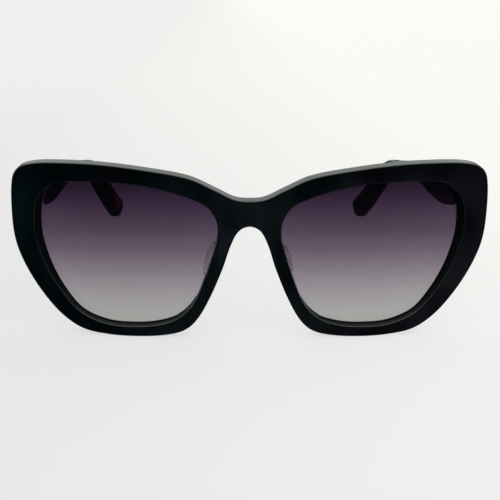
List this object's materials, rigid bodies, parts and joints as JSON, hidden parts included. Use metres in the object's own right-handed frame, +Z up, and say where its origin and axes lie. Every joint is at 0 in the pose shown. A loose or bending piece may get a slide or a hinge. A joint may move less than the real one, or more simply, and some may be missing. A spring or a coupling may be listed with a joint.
{
  "type": "sunglasses",
  "caption": "Oversized cat eye sunglasses: thick glossy black acetate front, purple to clear gradient lenses, clear nose pads and folding temples with hooked tips.",
  "frame": {"origin": "on the standing surface, below the middle of the overall box of the open glasses", "axes": "+X to the wearer's left, -Y the way the lenses face, +Z up; the rims' lowest points and the temple tips stand on Z = 0"},
  "size_m": [0.1444, 0.141, 0.0552],
  "materials": {
    "black_acetate": "hand polished black cellulose acetate",
    "gradient_lens": "polished, tint fading from dark purple at the top to a light warm grey at the bottom",
    "clear_acetate": "clear, polished",
    "hinge_steel": "tumbled nickel silver look",
    "screw_steel": "bright turned steel",
    "core_wire": "drawn wire"
  },
  "bodies": {
    "front_frame": {"front": "black_acetate", "lens_left": "gradient_lens", "lens_right": "gradient_lens", "nose_pad_left": "clear_acetate", "nose_pad_right": "clear_acetate", "front_hinge_left": "hinge_steel", "front_hinge_right": "hinge_steel", "hinge_screw_left": "screw_steel", "hinge_screw_right": "screw_steel", "front_leaf_screw_upper_left": "screw_steel", "front_leaf_screw_upper_right": "screw_steel", "front_leaf_screw_lower_left": "screw_steel", "front_leaf_screw_lower_right": "screw_steel"},
    "temple_left_arm": {"temple_left": "black_acetate", "core_wire_left": "core_wire", "temple_hinge_left": "hinge_steel", "temple_leaf_screw_front_left": "screw_steel", "temple_leaf_screw_rear_left": "screw_steel"},
    "temple_right_arm": {"temple_right": "black_acetate", "core_wire_right": "core_wire", "temple_hinge_right": "hinge_steel", "temple_leaf_screw_front_right": "screw_steel", "temple_leaf_screw_rear_right": "screw_steel"}
  },
  "joints": [
    {"name": "temple_left_fold", "type": "hinge", "parent": "front_frame", "child": "temple_left_arm", "pos_m": [0.06465, -0.05793, 0.04615], "axis": [0, 0, 1], "range_deg": [0, 87]},
    {"name": "temple_right_fold", "type": "hinge", "parent": "front_frame", "child": "temple_right_arm", "pos_m": [-0.06465, -0.05793, 0.04615], "axis": [0, 0, -1], "range_deg": [0, 80]}
  ]
}
